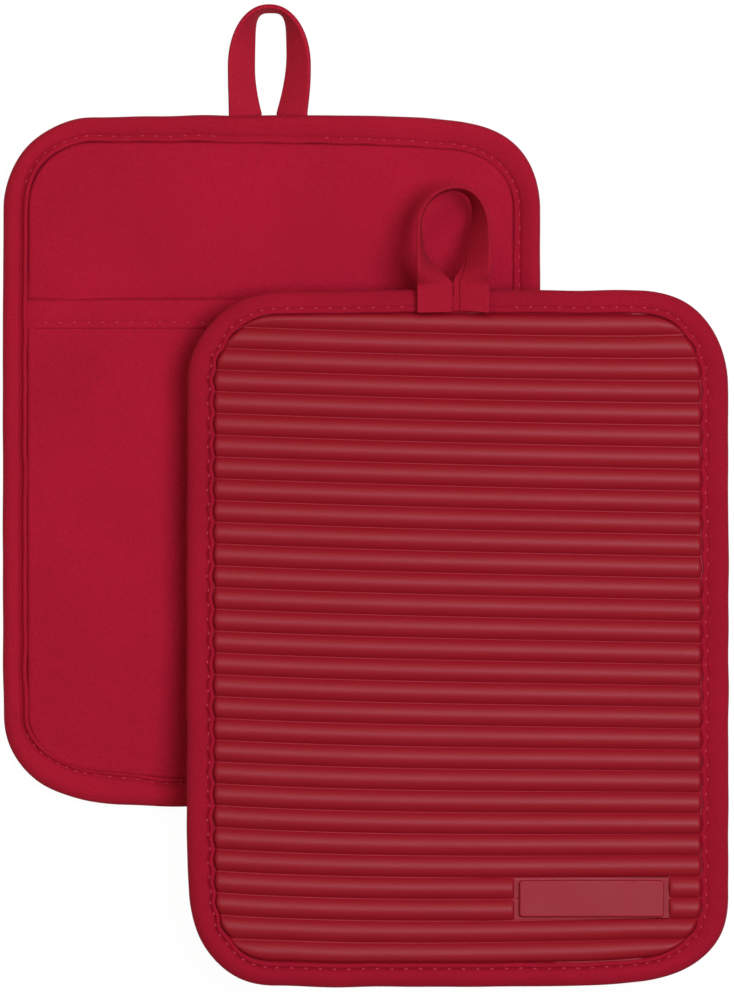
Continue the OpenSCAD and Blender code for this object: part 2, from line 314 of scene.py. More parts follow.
class Wire:
    """The output socket of a node, which can be reckoned with like a number."""

    def __init__(self, graph, socket):
        self.graph, self.socket = graph, socket

    def _math(self, kind, a, b):
        return self.graph.node("ShaderNodeMath", {"operation": kind}, {0: a, 1: b})

    def __add__(self, other): return self._math("ADD", self, other)
    def __radd__(self, other): return self._math("ADD", other, self)
    def __sub__(self, other): return self._math("SUBTRACT", self, other)
    def __rsub__(self, other): return self._math("SUBTRACT", other, self)
    def __mul__(self, other): return self._math("MULTIPLY", self, other)
    def __rmul__(self, other): return self._math("MULTIPLY", other, self)
    def sine(self): return self._math("SINE", self, 0)
    def clipped(self): return self.graph.node("ShaderNodeClamp", {}, {"Value": self})


class Graph:
    """The nodes of one material, or of the world, being written."""

    def __init__(self, owner):
        owner.use_nodes = True
        self.owner, self.tree = owner, owner.node_tree
        self.tree.nodes.clear()

    def node(self, kind, settings, inputs, output=0):
        made = self.tree.nodes.new(kind)
        for key, value in settings.items():
            setattr(made, key, value)
        for key, value in inputs.items():
            if isinstance(value, Wire):
                self.tree.links.new(value.socket, made.inputs[key])
            else:
                made.inputs[key].default_value = value
        return Wire(self, made.outputs[output]) if len(made.outputs) else None

    def split(self, vector):
        """The x and y of a vector."""
        first = self.node("ShaderNodeSeparateXYZ", {}, {0: vector})
        return [Wire(self, s) for s in first.socket.node.outputs][:2]

    def noise(self, where, scale, detail=2, roughness=0.5):
        return self.node("ShaderNodeTexNoise", {}, {"Vector": where, "Scale": scale, "Detail": detail,
                                                    "Roughness": roughness})

    def blend_colours(self, factor, first, second):
        """A Mix node for colours: its factor is input 0, and its colours are 6 and 7."""
        return self.node("ShaderNodeMix", {"data_type": "RGBA"}, {0: factor, 6: first, 7: second}, 2)

    def surface(self, inputs):
        made = self.node("ShaderNodeBsdfPrincipled", {}, inputs)
        self.node("ShaderNodeOutputMaterial", {}, {"Surface": made})
        return self.owner


def new_material(name):
    return Graph(bpy.data.materials.new(name))


def colour(red, green, blue, scale=1.0):
    """A screen colour of 0 to 255 as the linear values that a shader needs."""
    out = []
    for value in (red, green, blue):
        v = value / 255
        out.append(scale * (v / 12.92 if v <= 0.04045 else ((v + 0.055) / 1.055) ** 2.4))
    return (*out, 1)


# %% [markdown]
# ## Cotton twill
#
# Twill is woven so that each thread passes over two and under one, and the steps line up as fine
# diagonal lines. The panels read their place from the object's own coordinates. The binding and
# the loops bend round, so their weave follows their own cloth map instead. A little slow noise
# stands for uneven dye, and a fine one for lint and thick threads.

# %% The twill formula
# Noise scales count the patches in a metre. The dye is spread by so much of the whole shade.
WOBBLE_SCALE, DYE_SCALE, LINT_SCALE = 900, 26, 1300
PATCHY, LINTY = 0.5, 1.1
DARK, PALE = 0.78, 1.26
TWILL_LINE, WEAVE_DEPTH = 0.62 * MM, 0.12 * MM
SHEEN = colour(225, 60, 95)


def twill(name, tint, mapped, line=TWILL_LINE, slope=0.9, relief=0.55, ribbed=0.22):
    """Cloth whose diagonals are a line apart, with a share of the shade that follows the weave."""
    g = new_material(name)
    where = g.node("ShaderNodeTexCoord", {}, {}, "UV" if mapped else "Object")
    x, y = g.split(where)
    wobble = g.noise(where, WOBBLE_SCALE, 1) * 0.35
    twist = (x * slope + y) * (2 * math.pi / line)
    lines = (twist + wobble * 6).sine() * 0.5 + 0.5
    thread = ((x - y * 0.35) * (2 * math.pi / (line * 0.72))).sine() * 0.5 + 0.5
    weave = lines * 0.7 + thread * 0.3
    dye = g.noise(where, DYE_SCALE, 3, 0.55)
    lint = g.noise(where, LINT_SCALE, 2, 0.7)
    average = (ribbed + PATCHY + LINTY) / 2
    shade = (weave * ribbed + dye * PATCHY + lint * LINTY - average) * 1.3 + 0.5
    base = g.blend_colours(shade.clipped(), colour(*tint, DARK), colour(*tint, PALE))
    bump = g.node("ShaderNodeBump", {}, {"Strength": relief, "Distance": WEAVE_DEPTH,
                                         "Height": weave * 0.6 + lint * 0.9})
    return g.surface({"Base Color": base, "Roughness": 0.86, "Specular IOR Level": 0.1,
                      "Normal": bump, "Sheen Weight": 0.14, "Sheen Roughness": 0.45,
                      "Sheen Tint": SHEEN})


def tape_twill(name, tint):
    """The loops' tape has bolder and steeper lines."""
    return twill(name, tint, True, line=0.85 * MM, slope=0.36, relief=1.0, ribbed=0.5)


print("diagonals in a cm of cloth:", round(10 * MM / TWILL_LINE))

# %% The twill materials
# The trim and the loop tape of the upper holder are the same cloth painted darker: painted shade for
# the light that falls off towards the lower right.
PANEL_TWILL = twill("panel_twill", (164, 19, 46), False)
BINDING_TWILL = {"lower": twill("binding_twill", (162, 19, 44), True),
                 "upper": twill("binding_twill_shaded", (152, 15.5, 40), True)}
TAPE_TWILL = {"lower": tape_twill("tape_twill", (173, 27, 50)),
              "upper": tape_twill("tape_twill_shaded", (160, 20, 43))}
THREAD = twill("thread", (184, 50, 74), False, line=0.3 * MM, relief=0.3)
trims = [*BINDING_TWILL.values(), *TAPE_TWILL.values()]
print("materials for cloth:", *(cloth.name for cloth in [PANEL_TWILL, THREAD, *trims]))

# %% [markdown]
# ## Silicone
#
# Moulded silicone is one colour all through, with a satin skin. Its bump is only the fine grain
# of the mould. The broad gleam along the ribs comes from the lamps and a middle roughness, and
# handling has made it a little uneven.

# %% The silicone material
CLOUD_SCALE, GRAIN_SCALE, SMEAR_SCALE = 34, 2600, 120
SATIN, SMEARED = 0.46, 0.12
GRAIN_DEPTH = 0.04 * MM


def silicone():
    g = new_material("satin_silicone")
    where = g.node("ShaderNodeTexCoord", {}, {}, "Object")
    cloudy = g.noise(where, CLOUD_SCALE, 3, 0.6)
    grain = g.noise(where, GRAIN_SCALE, 2, 0.6)
    smear = g.noise(where, SMEAR_SCALE, 3, 0.6)
    shade = (cloudy * 0.7 + grain * 0.3 - 0.5) * 1.1 + 0.5
    base = g.blend_colours(shade.clipped(), colour(143, 10, 29), colour(151, 14, 36))
    bump = g.node("ShaderNodeBump", {}, {"Strength": 0.35, "Distance": GRAIN_DEPTH,
                                         "Height": grain + smear * 0.5})
    return g.surface({"Base Color": base, "Roughness": SATIN + smear * SMEARED,
                      "Specular IOR Level": 0.29, "Normal": bump})


SILICONE = silicone()
print("silicone roughness from", SATIN, "to", SATIN + SMEARED)

# %% [markdown]
# ## The hidden middle
#
# The lining and the batting are shut in between the silicone and the cloth back, and their
# measured solids already have the right shape. They stay, and only get their finish.

# %% The lining and batting materials


def plain_fibre(name, tint, scale, depth):
    """A matt fibre whose fluff is scale patches to the metre, and so deep."""
    g = new_material(name)
    where = g.node("ShaderNodeTexCoord", {}, {}, "Object")
    fluff = g.noise(where, scale, 4, 0.65)
    base = g.blend_colours(fluff, colour(*tint, 0.85), colour(*tint, 1.1))
    bump = g.node("ShaderNodeBump", {}, {"Strength": 0.6, "Distance": depth, "Height": fluff})
    return g.surface({"Base Color": base, "Roughness": 0.92, "Specular IOR Level": 0.15,
                      "Normal": bump})


BATTING = plain_fibre("batting_fibre", (226, 222, 212), 420, 0.5 * MM)
LINING = plain_fibre("lining_weave", (214, 208, 196), 1400, 0.1 * MM)
for holder in HOLDERS:
    for part, material in (("batting", BATTING), ("lining", LINING)):
        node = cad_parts[f"{holder.name}_{part}"]
        for socket in node.material_slots:
            socket.material = material
        print(node.name, "gets", material.name)

# %% [markdown]
# ## The ribbed silicone face
#
# The face is moulded in one piece: a thin sheet with thirty pillow-shaped ribs across it and a
# small bare plate among the last rows. It could be one bar copied thirty times, but then the
# sheet between the bars would need its own mesh. Here one grid does both. It has a row of faces
# for each facet of a rib's arch, and the rows are lifted to their height. The ribs round off where
# the binding holds them down, and they run a little downhill, as the sewn sheet was pulled.

# %% The free edge of the binding on the silicone
# It stands in for 0 where something is divided by a length.
TINY = 1e-9
FRONT_W, FRONT_W_LOOP_END, FRONT_W_FAR_END = 8.9 * MM, 7.4 * MM, 7.7 * MM
SCALLOP = 0.36 * MM
SCALLOP_STOP, SCALLOP_FADE = 4 * MM, 14 * MM
RIB_PITCH, RIB_SHIFT, RIBS = 7.135 * MM, 0.15 * MM, 30


def front_width(x, y):
    """Width of the binding on the silicone side: wide at the sides, narrower at the ends."""
    qx = np.abs(x) - (BASE_X - CORNER_R)
    qy = np.abs(y) - (BASE_Y - CORNER_R)
    turn = np.arctan2(np.maximum(qy, TINY), np.maximum(qx, TINY)) / (math.pi / 2)
    turn = np.where((qx < 0) & (qy < 0), np.where(qx > qy, 0.0, 1.0), turn)
    end = np.where(y > 0, FRONT_W_LOOP_END, FRONT_W_FAR_END)
    return FRONT_W + (end - FRONT_W) * smooth(turn)


def lean(x, y):
    """How far a rib has moved towards the loop at this place, where u and v are 0 at the middle."""
    u, v = x / (HOLDER_W / 2), y / (HOLDER_L / 2)
    slope = -1.88 * u - 1.51 * u * v + 1.45 * u * v * v
    curve = 0.63 * u * u * (1 - v) - 0.49 * u ** 3 + 0.86 * u ** 3 * v + 1.22 * u * u * v * v
    return (slope + curve + 0.156 * v * v - 0.171 * v - 0.236) * MM


def scallop(x, y):
    """The free edge gives way where a rib's crown meets it, and reaches in between two ribs."""
    rows_up = (y - lean(x, y) - RIB_SHIFT) / RIB_PITCH + 0.5
    crown = np.cos(2 * math.pi * rows_up)
    at_side = smooth((CORNER_R - (BASE_X - np.abs(x))) / CORNER_R)
    off_end = smooth((BASE_Y - SCALLOP_STOP - np.abs(y)) / SCALLOP_FADE)
    return -SCALLOP * crown * (at_side * off_end)


print("rib rows from", round(-(RIBS - 1) / 2 * RIB_PITCH / MM, 1), "mm to the loop end")

# %% The arch of a rib and the place of the plate
RIB_W, RIB_H, FLOOR_RISE = 6.85 * MM, 1.95 * MM, 0.45 * MM
FACETS = 15
PLATE_X, PLATE_Y = 43.85 * MM, -85.2 * MM
PLATE_W, PLATE_L, PLATE_H = 47.4 * MM, 12.1 * MM, 1.9 * MM
PLATE_MOAT = 1.7 * MM
PLATE_ROWS = (2, 3)


def arch():
    """Points over one rib, as (offset from its middle, share of its height)."""
    across = -np.cos(np.linspace(0, math.pi, FACETS))
    return across * RIB_W / 2, np.maximum(1 - across ** 2, 0) ** 0.95


print("a rib rises", round((FLOOR_RISE + RIB_H) / MM, 1), "mm above the sheet")

# %% Lay out the columns of one rib
END_STEPS = np.array([0, 0.06, 0.2, 0.4, 0.7, 1.1, 1.6, 2.4]) * MM
FOOT = 0.06 * MM
CREVICE = 0.15 * MM
# Columns between the two ends of a whole rib, and of the two stumps that the plate leaves.
MIDDLE, LEFT_STUMP, RIGHT_STUMP = 34, 12, 4


def between(start, stop, count):
    """count places spread evenly inside a rib, clear of the dense ones at its ends."""
    last = END_STEPS[-1]
    return list(np.linspace(start + last, stop - last, count + 2)[1:-1])


def columns(row, left, right, left_brim, right_brim):
    """x of every grid column, from brim to brim, dense where a rib ends."""
    starts = [left_brim, left - FOOT] + list(left + END_STEPS)
    ends = list(right - END_STEPS[::-1]) + [right + FOOT, right_brim]
    if row not in PLATE_ROWS:
        return np.array(starts + between(left, right, MIDDLE) + ends)
    stop = PLATE_X - PLATE_W / 2 - PLATE_MOAT
    start = PLATE_X + PLATE_W / 2 + PLATE_MOAT
    moat = list(stop - END_STEPS[::-1]) + [stop + FOOT, start - FOOT] + list(start + END_STEPS)
    inner = between(left, stop, LEFT_STUMP) + moat + between(start, right, RIGHT_STUMP)
    return np.array(starts + inner + ends)


def rib_depth(x, y):
    """How far a point lies inside the crevice along the binding's free edge."""
    return inset_of(x, y) - front_width(x, y) - scallop(x, y) - CREVICE


# %% Find where each rib ends
# A first guess at where a rib and the brim beside it end.
ROUGH_END, ROUGH_BRIM = 79 * MM, 85 * MM
BRIM_W = 1.2 * MM
END_RUN, END_WALL = 1.3 * MM, 0.45


def rib_reach(y, side):
    """x at which a row ends on one side: at the free edge, and at the brim under the binding."""
    x = side * ROUGH_END
    # The row leans, so its end is looked for again from each new x, until it stays.
    for _ in range(5):
        at = y + lean(x, y)
        width = float(front_width(np.array([x]), np.array([at]))[0])
        x = side * float(half_width_at(at, width + float(scallop(x, at)) + CREVICE))
    brim = side * float(half_width_at(y + lean(x, y), TRIM_IN))
    return side * min(abs(x), abs(brim) - BRIM_W), brim


def rib_end(depth):
    """Share of a rib's height at some depth inside its end: a quarter round over a short wall."""
    t = np.clip(depth / END_RUN, 0, 1)
    return np.where(depth <= 0, 0, END_WALL + (1 - END_WALL) * np.sqrt(1 - (1 - t) ** 2))


rough = (-ROUGH_END, ROUGH_END, -ROUGH_BRIM, ROUGH_BRIM)
COLUMNS = len(columns(None, *rough))
print("columns in a whole rib and in a cut one:", COLUMNS, len(columns(PLATE_ROWS[0], *rough)))

# %% Work out the points of each row
END = BASE_Y - TRIM_IN
LEAN_RUN, FLOOR_RUN = 3 * MM, 1.2 * MM
SLIVER = 0.02 * MM
PINCH = 0.18


def grid_rows():
    """For each row: its rib, the rib's middle, its share of the height, its offset from there."""
    rows = [(0, -END, 0.0, None)]
    for i in range(RIBS):
        y = (i - (RIBS - 1) / 2) * RIB_PITCH + RIB_SHIFT
        rows += [(i, y, share, offset) for offset, share in zip(*arch())]
    return rows + [(RIBS - 1, END, 0.0, None)]


def row_points(rib, y, height, offset):
    """Points of one row in the holder's frame. The first and the last row lie flat at the border."""
    border = offset is None
    base = y if border else y + offset
    (left, left_brim), (right, right_brim) = rib_reach(base, -1), rib_reach(base, 1)
    x = columns(rib, left, right, left_brim, right_brim)
    if border:
        return np.stack([x, np.full(COLUMNS, y), np.full(COLUMNS, SHEET_TOP)], -1)
    fade = smooth((inset_of(x, np.full(COLUMNS, base)) - TRIM_IN) / LEAN_RUN)
    middle = y + lean(x, np.full(COLUMNS, y)) * fade
    at = np.clip(middle + offset, -END + SLIVER, END - SLIVER)
    depth = rib_depth(x, at)
    if rib in PLATE_ROWS:
        depth = np.minimum(depth, np.abs(x - PLATE_X) - PLATE_W / 2 - PLATE_MOAT)
    share = rib_end(depth)
    # Where it is held down at its end, a rib is also narrower.
    at = middle + (at - middle) * np.where(depth > 0, 1 - PINCH + PINCH * share, 1)
    floor = FLOOR_RISE * smooth((inset_of(x, at) - front_width(x, at)) / FLOOR_RUN)
    return np.stack([x, at, SHEET_TOP + floor + RIB_H * height * share], -1)


print("rows in the grid:", len(grid_rows()))

# %% Add a grid for each holder and lift its rows into ribs
SILICONE_T = 1.2 * MM


def ribbed_sheet(holder):
    rows = grid_rows()
    bpy.ops.object.select_all(action="DESELECT")
    bpy.ops.mesh.primitive_grid_add(x_subdivisions=COLUMNS - 1, y_subdivisions=len(rows) - 1,
                                    size=HOLDER_L)
    sheet = bpy.context.active_object
    sheet.name = sheet.data.name = holder.name + "_ribbed_silicone"
    points = np.array([row_points(*row) for row in rows])
    sheet.data.vertices.foreach_set("co", holder.place(points).ravel())
    sheet.data.update()
    return sheet


def close_under(sheet, holder):
    """Draws the border down and fills it, so that the sheet has its thickness."""
    down = (0, 0, -SILICONE_T * holder.up)
    # In edge mode only the border's own edges are picked and drawn down.
    bpy.context.scene.tool_settings.mesh_select_mode = (False, True, False)
    select_rims(sheet)
    bpy.ops.mesh.extrude_region_move(TRANSFORM_OT_translate={"value": down})
    bpy.ops.mesh.edge_face_add()
    bpy.ops.object.mode_set(mode="OBJECT")


faces_of_silicone = {}
for holder in HOLDERS:
    sheet = ribbed_sheet(holder)
    close_under(sheet, holder)
    faces_of_silicone[holder.name] = sheet
    print(sheet.name, len(sheet.data.polygons), "faces")

# %% [markdown]
# ### The bare plate
#
# The plate stands among the ribs at one corner, where such goods carry a badge. It is left bare.
# It starts as a plane at its size, its corners are bevelled in plan, and it is drawn up out
# of the sheet. A fine bevel on the top edge catches the light as the moulded one does.

# %% Draw up the plate
PLATE_SUNK = 0.3 * MM
PLATE_CORNER, PLATE_EDGE, PLATE_INSET = 1.1 * MM, 0.5 * MM, 0.25 * MM


def bare_plate(holder):
    start = holder.place([(PLATE_X, PLATE_Y, SHEET_TOP - PLATE_SUNK)])[0]
    up = (0, 0, (PLATE_H + PLATE_SUNK) * holder.up)
    bpy.ops.object.select_all(action="DESELECT")
    bpy.ops.mesh.primitive_plane_add(size=1, location=start)
    plate = bpy.context.active_object
    plate.name = plate.data.name = holder.name + "_bare_plate"
    bpy.ops.object.mode_set(mode="EDIT")
    bpy.ops.transform.resize(value=(PLATE_W, PLATE_L, 1))
    bpy.ops.mesh.bevel(offset=PLATE_CORNER, segments=4, affect="VERTICES")
    bpy.ops.mesh.extrude_region_move(TRANSFORM_OT_translate={"value": up})
    bpy.ops.object.mode_set(mode="OBJECT")
    bpy.ops.object.transform_apply(location=True, rotation=True, scale=True)
    apply(plate, "BEVEL", width=PLATE_EDGE, segments=4, limit_method="ANGLE",
          angle_limit=math.radians(50))
    # A narrow inset keeps the flat of the top level right up to its rounded edge.
    wide = [face for face in plate.data.polygons if face.area > PLATE_W * PLATE_L / 2]
    top = max(wide, key=lambda face: face.center.z * holder.up).index
    bpy.ops.object.mode_set(mode="EDIT")
    bpy.ops.mesh.select_mode(type="FACE")
    bpy.ops.mesh.select_all(action="DESELECT")
    bpy.ops.object.mode_set(mode="OBJECT")
    plate.data.polygons[top].select = True
    bpy.ops.object.mode_set(mode="EDIT")
    bpy.ops.mesh.inset(thickness=PLATE_INSET, depth=0)
    bpy.ops.mesh.select_mode(type="VERT")
    bpy.ops.object.mode_set(mode="OBJECT")
    return plate


for holder in HOLDERS:
    plate = bare_plate(holder)
    sheet = faces_of_silicone[holder.name]
    face_outwards(plate, 35)
    face_outwards(sheet, 65)
    select_only(sheet)
    plate.select_set(True)
    bpy.ops.object.join()
    sheet.data.materials.clear()
    sheet.data.materials.append(SILICONE)
    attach(sheet, holder.body)
    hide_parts(holder.name + "_silicone_face")
    print("joined", sheet.name, len(sheet.data.polygons), "faces")

# %% [markdown]
# ## The folded binding
#
# A strip of bias-cut cloth is folded over the edge and sewn through everything with one row of
# stitches. It is a long swept shape, so it is built as one cross-section for each step along the
# edge. The stitches pull the cloth into a groove and leave a thin ridge at the free edge, and on
# the silicone side that edge wanders in and out as it passes the ribs.

# %% The cross-section of the binding, from the fold to the free edge
STITCH_STEP = 4.7 * MM
STEPS_PER_STITCH = 4
STITCHES = int(round(EDGE_LENGTH / STITCH_STEP))
WALL, WALL_H = 1.0 * MM, 2.5 * MM
# How far the padded roll stands proud on the silicone side and on the cloth side of each holder.
PROUD = {"lower": (0.3 * MM, 1.2 * MM), "upper": (1.0 * MM, 0.5 * MM)}
# What the sewing did differs from side to side, in mm for (+x, -x, loop end, far end): how deep
# the seam is drawn in, how far from the fold the padded roll is highest, and how far it falls.
FRONT_SIDES = {"groove": (0.25, 0.85, 0.3, 0.6), "crest": (2.0, 3.5, 4.4, 3.6),
               "fall": (1.5, 0.6, 0.2, 0.9)}
BACK_SIDES = {"groove": (1.3, 0.45, 0.35, 0.75), "crest": (2.7, 2.0, 2.0, 3.6),
              "fall": (0.7, 1.75, 1.3, 1.5)}


# Width on the cloth side in mm: both sides (+x, -x), the loop end, the far end and its corner.
BACK_W, LOOP_END_W, FAR_END_W, CORNER_MORE = (8.2, 8.9), 9.2, 9.4, 1.9
LIP_ROUND, LIP_DROP = 0.5 * MM, 0.6 * MM


def back_width(x, y):
    """Width of the binding on the cloth side: it grows towards the ends, most at the bottom."""
    side = np.where(x > 0, *BACK_W) * MM
    top = (LOOP_END_W - x / (60 * MM)) * MM
    bottom = (FAR_END_W + CORNER_MORE * smooth((x - 30 * MM) / (26 * MM))) * MM
    toward_end = smooth((np.abs(y) - (BASE_Y - CORNER_R)) / CORNER_R)
    return side + (np.where(y > 0, top, bottom) - side) * toward_end


def by_side(values, normal):
    """One of the values above for an edge that faces this way, mixed round the corners."""
    nx, ny = normal
    shares = (max(nx, 0) ** 2, max(-nx, 0) ** 2, max(ny, 0) ** 2, max(-ny, 0) ** 2)
    return sum(share * value for share, value in zip(shares, values)) * MM


def leg_height(d, width, stitch_at, groove, ridge, narrow, crest, fall, proud):
    """Height of one leg's outer face over the middle plane, d inside the edge."""
    wall = WALL_H * (1 - (1 - np.clip(d / WALL, 0, 1)) ** 3) ** (1 / 3)
    dome = (SLOT_H / 2 + BIND_T + proud - WALL_H) * (1 - (1 - np.clip(d / crest, 0, 1)) ** 2)
    seam = width - stitch_at
    down = fall * np.clip((d - crest) / (seam - crest), 0, 1) ** 1.6
    dip = groove * np.exp(-((d - seam) / narrow) ** 2)
    lip = ridge * np.exp(-((d - (seam + width) / 2 + 0.05 * MM) / (stitch_at * 0.32)) ** 2)
    turned = np.clip((d - (width - LIP_ROUND)) / LIP_ROUND, 0, 1)
    return wall + dome - down - dip + lip - LIP_DROP * (1 - np.sqrt(1 - turned * turned))


print("stitches round the binding:", STITCHES)

# %% Where across a leg the points lie
NEAR_FREE_EDGE = np.array([0.0, 0.02, 0.08, 0.2, 0.4, 0.65, 0.95]) * MM
ROUND_SEAM = np.array([0.55, 0.3, 0.15, 0.0, -0.15, -0.3, -0.55, -0.95]) * MM
TOWARD_FOLD = np.array([0.9, 0.75, 0.58, 0.42, 0.28, 0.17, 0.09, 0.04, 0.012])
INNER_TURN = np.radians([-90, -45, 0, 45, 90])
FREE_EDGE_T = 0.04 * MM


def leg_inset(width, stitch_at):
    """Distances inside the edge, from the free edge of a leg to the fold."""
    far = TOWARD_FOLD * (width - stitch_at - 0.9 * MM)
    return np.concatenate([width - NEAR_FREE_EDGE, width - stitch_at + ROUND_SEAM, far])


def cross_section(front, back, thick):
    """Points round the strip, as (inside the edge, over the middle plane)."""
    legs = []
    for shape in (front, back):
        d = leg_inset(*shape[:2])
        z = leg_height(d, *shape) * thick
        z[0] = SLOT_H / 2 + FREE_EDGE_T
        legs.append((d, z))
    (front_d, front_z), (back_d, back_z) = legs
    turn = [(TRIM_IN - SLOT_H / 2 * math.cos(a), SLOT_H / 2 * math.sin(a)) for a in INNER_TURN]
    fold = [(0.0, 0.0)]
    return list(zip(front_d, front_z)) + fold + list(zip(back_d[::-1], -back_z[::-1])) + turn


print("points round the strip:", 2 * len(leg_inset(FRONT_W, MM)) + 1 + len(INNER_TURN))

# %% What wanders along the edge
PLACES = STITCHES * STEPS_PER_STITCH
# How much, and about how many waves there are round the edge: both free edges, the thickness,
# and the fold itself.
FRONT_WANDER, BACK_WANDER = (0.12 * MM, 40), (0.16 * MM, 34)
THICK_WANDER, FOLD_WANDER = (0.03, 60), (0.12 * MM, 26)
FRONT_SEAM, BACK_SEAM = 1.75 * MM, 1.95 * MM
FRONT_RIDGE, FRONT_NARROW = 0.1 * MM, 0.35 * MM
BACK_RIDGE, BACK_NARROW = 0.3 * MM, 0.55 * MM
PULL = 0.05 * MM
# At a stitch the groove is only so deep, because the thread lies in it.
AT_HOLE = 0.45


def wander(k, amount, waves, seed):
    """Slow unevenness that closes on itself round the edge."""
    a = 2 * math.pi * k / PLACES
    rng = np.random.default_rng(seed)
    phases, sizes = rng.uniform(0, 2 * math.pi, 12), rng.uniform(0.4, 1, 12)
    turns = [round(waves * (i + 3) / 9) for i in range(12)]
    return amount * (sum(size * math.sin(a * turn + phase)
                         for turn, phase, size in zip(turns, phases, sizes)) / 3.6)


def leg_shape(sides, normal, sunk, width, stitch_at, ridge, narrow, proud):
    """One leg's shape at one place, in the order in which leg_height takes it."""
    groove, crest, fall = (by_side(sides[key], normal) for key in ("groove", "crest", "fall"))
    return width, stitch_at, groove * sunk, ridge, narrow, crest, fall, proud


def legs_at(holder, k, place, normal, seed):
    """Shapes of the leg on the silicone and of the one on the cloth, at one place on the edge."""
    front = float(front_width(np.array(place[:1]), np.array(place[1:]))[0])
    give = float(scallop(*(bow([place])[0] - normal * front)))
    front += give + wander(k, *FRONT_WANDER, seed)
    back = float(back_width(*place)) + wander(k, *BACK_WANDER, seed + 1)
    sunk = AT_HOLE if k % STEPS_PER_STITCH == 0 else 1
    ridge = FRONT_RIDGE + PULL * math.cos(2 * math.pi * k / STEPS_PER_STITCH)
    on_silicone, on_cloth = PROUD[holder.name]
    return (leg_shape(FRONT_SIDES, normal, sunk, front, FRONT_SEAM - 0.4 * give, ridge,
                      FRONT_NARROW, on_silicone),
            leg_shape(BACK_SIDES, normal, 1, back, BACK_SEAM, BACK_RIDGE, BACK_NARROW, on_cloth))


print("places along the edge:", PLACES)

# %% Sweep the binding round each holder
STITCH_STANDS = 0.06 * MM


def sweep(holder, seed):
    """Every point of the strip, its place on the cloth, and the holes of the stitches."""
    places, normals, total = walk_outline(PLACES)
    points, maps, holes = [], [], []
    for k, (place, normal) in enumerate(zip(places, normals)):
        front, back = legs_at(holder, k, place, normal, seed)
        thick = 1 + wander(k, *THICK_WANDER, seed + 2)
        drift = wander(k, *FOLD_WANDER, seed + 3)
        section = cross_section(front, back, thick)
        points += [(*(place - normal * (d - drift)), SLOT_H / 2 + z) for d, z in section]
        lengths = [math.hypot(b[0] - a[0], b[1] - a[1]) for a, b in zip(section, section[1:])]
        maps += [(total * k / PLACES, across) for across in np.cumsum([0] + lengths)]
        if k % STEPS_PER_STITCH:
            continue
        for shape, way in ((front, 1), (back, -1)):
            d = shape[0] - shape[1]
            at = leg_height(np.array([d]), *shape)[0] * thick + STITCH_STANDS
            x, y = bow([place - normal * (d - drift)])[0]
            holes.append(((x, y, SLOT_H / 2 + way * at), (-normal[1], normal[0], 0)))
    return np.array(points), maps, holes


def binding(holder, seed):
    points, maps, holes = sweep(holder, seed)
    points[:, :2] = bow(points)[:, :2]
    faces = quads(PLACES, len(points) // PLACES, True, True)
    strip = mesh_from(holder.name + "_binding", holder.place(points), faces)
    write_uv(strip, maps)
    face_outwards(strip, 60)
    strip.data.materials.append(BINDING_TWILL[holder.name])
    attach(strip, holder.body)
    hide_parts(holder.name + "_edge_binding")
    return strip, holes


stitch_places = {}
for number, holder in enumerate(HOLDERS):
    strip, stitch_places[holder.name] = binding(holder, 11 + 20 * number)
    print(strip.name, len(strip.data.polygons), "faces")

# %% [markdown]
# ## The cloth back and the pocket
#
# Both are plain sheets of twill, caught in the binding and pushed out by the pad behind them.
# A cloth simulation lets a plain sheet settle first, with its edge pinned as the binding holds
# it. Its small ripples are kept, while the overall swell stays that of the measured solid.

# %% Settle a sheet with the cloth simulation
SETTLE_CELL, SETTLE_STEPS = 2.4 * MM, 20


def settling_grid():
    """Points of a flat sheet that fills the outline, and the x and y of its rows and columns."""
    ys = np.arange(-BASE_Y + TRIM_IN, BASE_Y - TRIM_IN, SETTLE_CELL)
    across = np.linspace(-1, 1, int(2 * BASE_X / SETTLE_CELL))
    x = half_width_at(ys, TRIM_IN)[:, None] * across[None, :]
    return x, np.repeat(ys[:, None], len(across), axis=1), across, ys


def settle(points, shape, pinned):
    """How far each point of a pinned sheet, cut a little too large, moves when it is pressed out."""
    sheet = mesh_from("settling", points, quads(*shape))
    group = sheet.vertex_groups.new(name="held")
    group.add([int(i) for i in np.nonzero(pinned)[0]], 1.0, "REPLACE")
    modifier = sheet.modifiers.new("cloth", "CLOTH")
    cloth = modifier.settings
    cloth.quality = 6
    cloth.mass = 0.2
    cloth.tension_stiffness = cloth.compression_stiffness = 12
    cloth.shear_stiffness = 6
    cloth.bending_stiffness = 0.35
    cloth.vertex_group_mass = "held"
    cloth.shrink_min = -0.015
    cloth.use_pressure = True
    cloth.uniform_pressure_force = 0.6
    cloth.effector_weights.gravity = 0
    modifier.collision_settings.use_collision = False
    for step in range(1, SETTLE_STEPS + 1):
        bpy.context.scene.frame_set(step)
    seen = sheet.evaluated_get(bpy.context.evaluated_depsgraph_get())
    moved = np.array([v.co for v in seen.data.vertices])
    bpy.context.scene.frame_set(1)
    bpy.data.objects.remove(sheet)
    return (moved[:, 2] - points[:, 2]).reshape(shape)


print("cells of the settling sheet:", settling_grid()[0].size)

# %% Keep the small ripples of a settled sheet
HELD, HELD_RUN = 8.5 * MM, 9 * MM
FINE_BLUR, WIDE_BLUR = 6, 220
MOST_RIPPLE = 1.6


def blurred(field, passes):
    """A field averaged with its neighbours, with its border repeated."""
    for _ in range(passes):
        wide = np.pad(field, 1, mode="edge")
        beside = wide[:-2, 1:-1] + wide[2:, 1:-1] + wide[1:-1, :-2] + wide[1:-1, 2:]
        field = (beside + 2 * field) / 6
    return field


